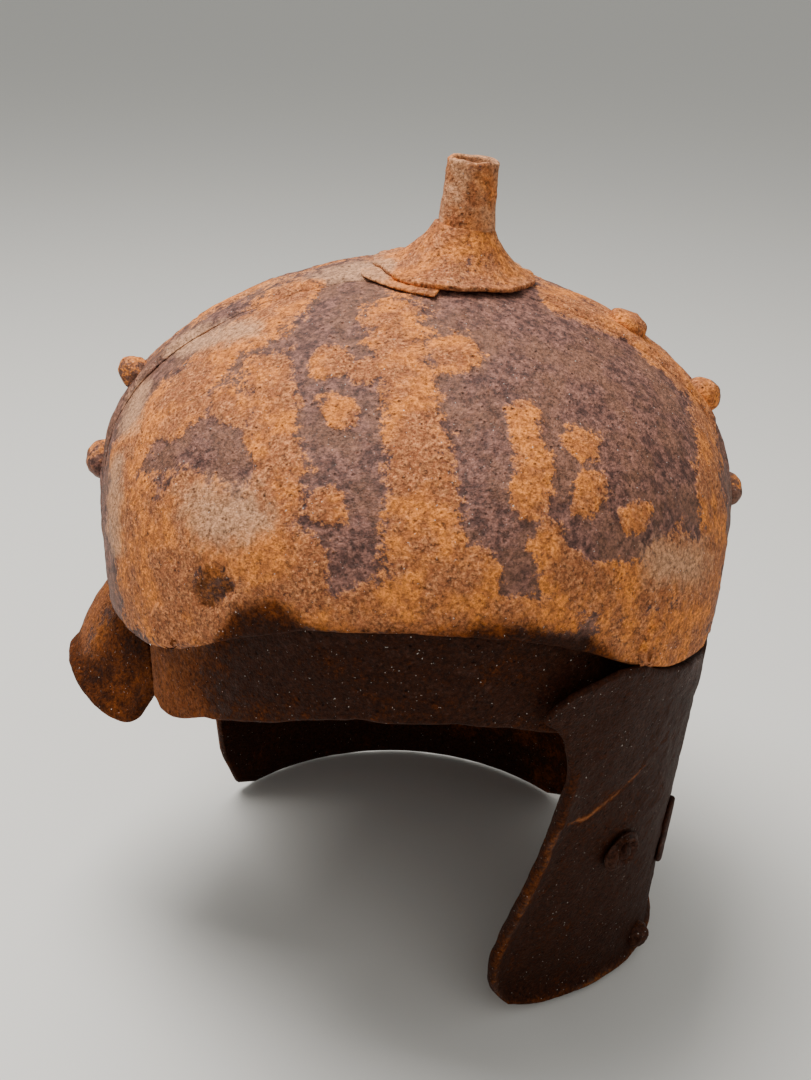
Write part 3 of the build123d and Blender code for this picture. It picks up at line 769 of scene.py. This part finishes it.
# The long plate's front edge (x, z) from the foot up, and its top edge
LEFT_EDGE = np.array([
    (41.0, 0.8), (41.0, 4.0), (33.5, 17.0), (32.5, 32.0), (36.0, 50.0), (43.0, 76.0), (47.5, 98.0),
    (50.5, 119.0), (48.5, 134.0), (44.5, 142.5), (40.5, 147.0), (43.0, 152.0), (55.0, 160.5),
])
CHEEK_TOP = np.array([
    (38, 149), (47, 155), (56, 160), (65, 157.5), (82, 147.5), (90, 143), (98, 138.4), (130, 138),
])
# x along the top edge, by share of the way from the front edge to the rear
TOP_SPREAD = np.array([(0, 50), (0.1, 58), (0.25, 72), (0.4, 86), (0.5, 98), (1.0, 107)])
FLAKE = np.array([(48, 99.5), (60, 96), (70, 102), (82, 112), (110, 128)])


def cheek_axes(z):
    f = z / CHEEK_TOP_Z
    return CHEEK_FOOT_A + (CHEEK_TOP_A - CHEEK_FOOT_A) * f, CHEEK_FOOT_B + (CHEEK_TOP_B - CHEEK_FOOT_B) * f


def raised_rim(d, height, dish):
    """Rolled rim near an edge at distance d, and the shallow dish inside it."""
    return height * np.exp(-((d - 2.0) / 2.1) ** 2) - dish * smooth(3.5, 11.0, d)


def flake_line(p):
    """Height of the broken lamination edge across the long plate."""
    return np.interp(p[..., 0], FLAKE[:, 0], FLAKE[:, 1]) + 2.2 * fbm(p, 7, 831, 3, 0.6)


def left_cheek():
    rows, cols = 150, 130
    u = np.linspace(0, 1, cols)[None, :] ** 1.1 * np.ones((rows, 1))
    down = np.linspace(0, 1, rows)[:, None]
    top_x = np.interp(u, TOP_SPREAD[:, 0], TOP_SPREAD[:, 1])
    top = np.interp(top_x, CHEEK_TOP[:, 0], CHEEK_TOP[:, 1]) - 0.3
    foot = 0.9 + 5.5 * np.exp(-u / 0.05) + 0.5 * np.abs(fbm(on_line(u * 90), 12, 811, 2))
    z = foot + (top - foot) * down
    edge_curve = curve_through(LEFT_EDGE, 400)
    edge_curve = edge_curve[np.argsort(edge_curve[:, 1])]
    x_front = np.interp(z, edge_curve[:, 1], edge_curve[:, 0])
    x_front = x_front + 0.7 * fbm(np.stack([0 * z, 0 * z, z], -1), 12, 821, 3)
    a, b = cheek_axes(z)
    front = np.arccos(np.clip(x_front / a, -1, 1))
    rear = -np.arcsin(CHEEK_REAR_Y / b)
    ang = front + (rear - front) * u
    grid = np.stack([a * np.cos(ang), -b * np.sin(ang), z], -1)

    steps = np.linalg.norm(np.diff(grid, axis=1), axis=2)
    from_edge = np.concatenate([np.zeros((rows, 1)), np.cumsum(steps, axis=1)], 1)
    d = np.minimum(from_edge, z - foot)
    relief = roughness_relief(grid) * 0.9
    relief += raised_rim(d, 1.9, 1.5 * smooth(60, 25, from_edge)) * smooth(128, 96, z)
    relief += 1.0 * smooth(-0.7, 0.7, z - flake_line(grid)) - 0.3
    v, q, c = shell(grid, CHEEK_WALL, relief)

    # Painted shade darkens the whole plate, with orange along the flake's edge and the rolled rim, and
    # painted light on the outer side, strongest near the top
    streak = np.exp(-((v[:, 2] - flake_line(v)) / 2.6) ** 2) * smooth(88, 80, v[:, 0])
    streak *= smooth(-0.35, 0.35, fbm(v, 9, 841, 2))
    rim_tint = np.exp(-((np.concatenate([d.ravel(), d.ravel()]) - 2.0) / 2.4) ** 2)
    rim_tint *= smooth(135, 105, v[:, 2])
    # side marks the painted light on the plate's outer side
    side = smooth(60, 100, v[:, 0])
    c[:, 0] = -0.35 + 0.5 * fbm(v, 13, 835, 4, 0.6) + 0.75 * streak + 0.5 * rim_tint
    c[:, 1] = -1.0
    c[:, 2] = 1.15 - 0.25 * side - 0.9 * streak - 0.5 * rim_tint + 0.3 * fbm(v, 18, 837, 2)
    c[:, 2] -= 0.35 * smooth(120, 140, v[:, 2]) * side
    c[rows * cols:, 2] = INSIDE_PAINTED_SHADE_LEVEL
    return v, q, c


def cheek_spot(x, z, lift):
    """Point and normal on the long plate's outer face."""
    a, b = cheek_axes(z)
    ang = math.acos(x / a)
    n = np.array([math.cos(ang) / a, -math.sin(ang) / b, -0.0016])
    n /= np.linalg.norm(n)
    return np.array([a * math.cos(ang), -b * math.sin(ang), z]) + n * lift, n


piece("rusted_left_cheek_plate", [left_cheek()], "left_cheek",
      ["left_cheek_plate", "left_cheek_rim"])

RING_AT = (75.0, 72.0)
KNOB_AT = (90.5, 10.0)
ring_boss = stud(*cheek_spot(*RING_AT, 0.0), 8.0, 1.0, 841, dark=-0.4, crust=0.6, ring=1.5)
ring_rivet = stud(*cheek_spot(*RING_AT, 0.8), 3.4, 2.2, 851, dark=-0.2)
corner_knob = stud(*cheek_spot(*KNOB_AT, 0.3), 5.0, 4.4, 861, dark=-0.5, crust=0.6)
piece("rusted_left_cheek_ring", [ring_boss], "left_cheek", ["left_cheek_ring"])
piece("rusted_left_cheek_rivet", [ring_rivet], "left_cheek", ["left_cheek_rivet"])
piece("rusted_left_corner_knob", [corner_knob], "left_cheek", ["left_corner_knob"])

# The short plate: half-width at CHEEK_TOP_Z and at the table, half-depth, and its edges in y
SHORT_A, SHORT_FOOT_A, SHORT_B = 108.0, 106.0, 62.0
SHORT_FRONT_Y, SHORT_REAR_Y, SHORT_TOP_Z = -44.2, 32.3, 137.0
SHORT_LOW = np.array([
    (-44.2, 121.0), (-43.2, 110.5), (-38.5, 105.5), (-30.0, 103.0), (-18.0, 102.0), (-6.0, 100.5),
    (7.0, 98.5), (18.0, 98.5), (27.0, 103.0), (31.5, 112.0), (32.3, 122.0),
])
SHORT_DEPTH = 36  # height over which it bows outwards
SHORT_MEAN_R = 80  # mean radius of its curve
SPLAY = math.radians(27.0)  # the short plate hangs outwards from its hinge at rest


def right_cheek():
    rows, cols = 90, 130
    share = (1 - np.cos(np.linspace(0, math.pi, cols)))[None, :] / 2 * np.ones((rows, 1))
    ang_front, ang_rear = math.asin(SHORT_FRONT_Y / SHORT_B), math.asin(SHORT_REAR_Y / SHORT_B)
    ang = ang_front + (ang_rear - ang_front) * share
    y = SHORT_B * np.sin(ang)
    down = np.linspace(0, 1, rows)[:, None]
    low_curve = curve_through(SHORT_LOW, 300)
    low = np.interp(y, low_curve[:, 0], low_curve[:, 1])
    low = low + 0.5 * fbm(on_line(y), 10, 871, 3)
    top = SHORT_TOP_Z - 8.0 * smooth(-36, -44, y)
    z = low + (top - low) * down
    a = SHORT_FOOT_A + (SHORT_A - SHORT_FOOT_A) * z / CHEEK_TOP_Z
    bow = 1.6 * np.sin(np.clip((SHORT_TOP_Z - z) / SHORT_DEPTH, 0, 1) * math.pi)
    grid = np.stack([-(a * np.cos(ang) + bow), y, z], -1)
    to_side = np.minimum(np.abs(ang - ang_front), np.abs(ang_rear - ang)) * SHORT_MEAN_R
    d = np.minimum((z - low) * 0.8, to_side)
    relief = roughness_relief(grid) * 0.8 + raised_rim(d, 1.5, 0.7)
    v, q, c = shell(grid, CHEEK_WALL, relief)
    # Painted shadow of the bowl on the plate's inboard part, and painted shade on its lower part
    painted_shadow_inboard = smooth(-105, -90, v[:, 0])
    low_painted_shade = 0.8 * smooth(116, 104, v[:, 2])

    dx, dz = v[:, 0] + HINGE_X, v[:, 2] - HINGE_Z
    v[:, 0] = -HINGE_X + dx * math.cos(SPLAY) + dz * math.sin(SPLAY)
    v[:, 2] = HINGE_Z + dz * math.cos(SPLAY) - dx * math.sin(SPLAY)
    c[:, 0] = 0.25 + 0.8 * fbm(v, 12, 881, 4, 0.6)
    c[:, 1] = -0.6
    c[:, 2] = 0.2 + 1.1 * painted_shadow_inboard + low_painted_shade
    c[rows * cols:, 2] = INSIDE_PAINTED_SHADE_LEVEL
    return v, q, c


piece("rusted_right_cheek_plate", [right_cheek()], "right_cheek",
      ["right_cheek_plate", "right_cheek_rim"])

TONGUE_TOP_Z, TONGUE_LENGTH, TONGUE_Y, TONGUE_HALF = 66.5, 27, -24, 5.2


def strap_end():
    """Thin tongue lying on the outer face of the long plate, rounded at both ends."""
    rows, cols = 60, 24
    down = np.linspace(0, 1, rows)[:, None] * np.ones((1, cols))
    across = np.linspace(-1, 1, cols)[None, :]
    z = TONGUE_TOP_Z - TONGUE_LENGTH * down
    y = TONGUE_Y + across * TONGUE_HALF * np.sqrt(np.clip(1 - ((down - 0.5) / 0.52) ** 4, 0.02, 1))
    a, b = cheek_axes(z)
    grid = np.stack([a * np.sqrt(1 - (y / b) ** 2), y, z], -1)
    relief = 1.5 + 0.4 * roughness_relief(grid) - 0.9 * np.abs(across) ** 3
    return shell(grid, 0.6, relief, crust=0.2, dark=-0.4)


piece("rusted_left_strap_end", [strap_end()], "left_cheek", ["left_strap_end"])

for node_name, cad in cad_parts.items():
    if node_name.startswith("hinge_"):
        cad.data.materials.clear()
        cad.data.materials.append(hinge_material)

# --------------------------------------------------------------------------- camera, light, floor
CAMERA_LENS = 46.67
CAMERA_SENSOR = 36.0
CAMERA_PITCH = math.radians(24.5)
CAMERA_ROLL = math.radians(2.3)
CAMERA_AT = np.array([-2.5, -455.0, 363.0])
LIGHT_TARGET = (0, 0, 0.15)
WORLD_COLOR, WORLD_STRENGTH = (0.9, 0.9, 0.86, 1), 0.50
FLOOR_COLOR, FLOOR_ROUGHNESS = (0.74, 0.73, 0.70, 1), 0.7
FLOOR_HALF, FLOOR_GAP = 30.0, 0.0005


def add_object(name, data):
    obj = bpy.data.objects.new(name, data)
    bpy.context.scene.collection.objects.link(obj)
    return obj


cam_data = bpy.data.cameras.new("camera")
cam_data.lens = CAMERA_LENS
cam_data.sensor_width = CAMERA_SENSOR
camera = add_object("camera", cam_data)
camera.location = Vector(put(CAMERA_AT))
turn = Matrix.Rotation(math.pi / 2 - CAMERA_PITCH, 4, "X") @ Matrix.Rotation(CAMERA_ROLL, 4, "Z")
camera.rotation_euler = turn.to_euler()
bpy.context.scene.camera = camera


def area_light(name, at, side, power, color):
    """Square light aimed at the helmet's middle, placed in metres."""
    data = bpy.data.lights.new(name, "AREA")
    data.shape = "RECTANGLE"
    data.size = data.size_y = side
    data.energy = power
    data.color = color
    obj = add_object(name, data)
    obj.location = at
    obj.rotation_euler = (Vector(LIGHT_TARGET) - Vector(at)).to_track_quat("-Z", "Y").to_euler()


area_light("key_light", at=(-0.30, 0.10, 1.25), side=0.7, power=23.0, color=(1.0, 0.97, 0.93))
area_light("fill_light", at=(0.35, -1.0, 0.95), side=0.9, power=2.5, color=(1.0, 0.98, 0.96))

world = bpy.data.worlds.new("studio")
world.use_nodes = True
background = world.node_tree.nodes["Background"]
background.inputs[0].default_value = WORLD_COLOR
background.inputs[1].default_value = WORLD_STRENGTH
bpy.context.scene.world = world

floor_mesh = bpy.data.meshes.new("floor")
corners = [(-FLOOR_HALF, -FLOOR_HALF, 0), (FLOOR_HALF, -FLOOR_HALF, 0), (FLOOR_HALF, FLOOR_HALF, 0),
           (-FLOOR_HALF, FLOOR_HALF, 0)]
floor_mesh.from_pydata(corners, [], [(0, 1, 2, 3)])
floor = add_object("floor", floor_mesh)
floor.location.z = -FLOOR_GAP
floor_mat = bpy.data.materials.new("floor_pale")
floor_mat.use_nodes = True
floor_bsdf = floor_mat.node_tree.nodes["Principled BSDF"]
floor_bsdf.inputs["Base Color"].default_value = FLOOR_COLOR
floor_bsdf.inputs["Roughness"].default_value = FLOOR_ROUGHNESS
floor_mesh.materials.append(floor_mat)
